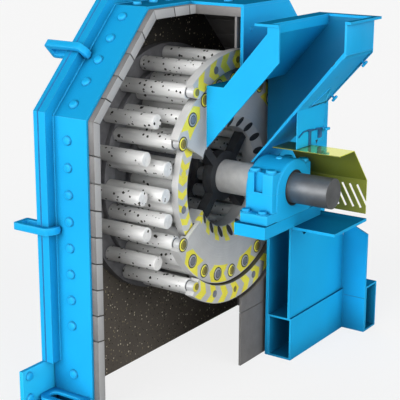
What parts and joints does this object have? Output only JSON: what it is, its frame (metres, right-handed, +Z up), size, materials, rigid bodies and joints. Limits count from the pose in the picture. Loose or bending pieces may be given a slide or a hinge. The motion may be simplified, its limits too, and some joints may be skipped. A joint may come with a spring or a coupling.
{
  "type": "cage mill",
  "caption": "Cage mill with two counter-turning pinned rotors in a lined steel housing, cut open to show the rotors, with pillow bearings, shaft guards and a feed chute.",
  "frame": {"origin": "middle of the machine's footprint on the floor, under the middle of the two rotors", "axes": "+X along the shafts towards the feed chute, +Y from the front wall to the back wall, +Z up"},
  "size_m": [1.702, 2.108, 1.933],
  "materials": {
    "blue_paint": "satin",
    "liner_iron": "rough cast",
    "packing_rubber": "matte",
    "guard_paint": "satin",
    "disc_steel": "machined, with yellow painted chevrons",
    "pin_steel": "worn bright",
    "shaft_steel": "turned"
  },
  "bodies": {
    "frame": {"front_wall": "blue_paint", "corner_plates": "blue_paint", "roof_plate": "blue_paint", "back_wall": "blue_paint", "right_wall": "blue_paint", "left_cover": "blue_paint", "left_flange": "blue_paint", "packing_strip": "packing_rubber", "front_liner": "liner_iron", "corner_liners": "liner_iron", "roof_liner": "liner_iron", "back_liner": "liner_iron", "left_liner": "liner_iron", "right_liner": "liner_iron", "left_base_plate": "blue_paint", "front_foot": "blue_paint", "cross_tube": "blue_paint", "base_tubes": "blue_paint", "right_column": "blue_paint", "right_wing": "blue_paint", "left_column": "blue_paint", "shelves": "blue_paint", "sole_plates": "blue_paint", "bearing_bases": "blue_paint", "bearing_caps": "blue_paint", "chute_front": "blue_paint", "chute_roof": "blue_paint", "chute_floor": "blue_paint", "chute_back": "blue_paint", "chute_rim": "blue_paint", "right_guard": "guard_paint", "left_guard": "guard_paint", "cover_clamps": "blue_paint"},
    "left_rotor": {"left_shaft": "shaft_steel", "left_disc": "disc_steel", "left_rings": "disc_steel", "row_2_pins": "pin_steel", "row_4_pins": "pin_steel"},
    "right_rotor": {"right_shaft": "shaft_steel", "right_hub": "disc_steel", "right_disc": "disc_steel", "right_rings": "disc_steel", "row_1_pins": "pin_steel", "row_3_pins": "pin_steel"}
  },
  "joints": [
    {"name": "left_rotor_spin", "type": "hinge", "parent": "frame", "child": "left_rotor", "pos_m": [0, 0, 1.02], "axis": [1, 0, 0], "continuous": true},
    {"name": "right_rotor_spin", "type": "hinge", "parent": "frame", "child": "right_rotor", "pos_m": [0, 0, 1.02], "axis": [1, 0, 0], "continuous": true}
  ]
}
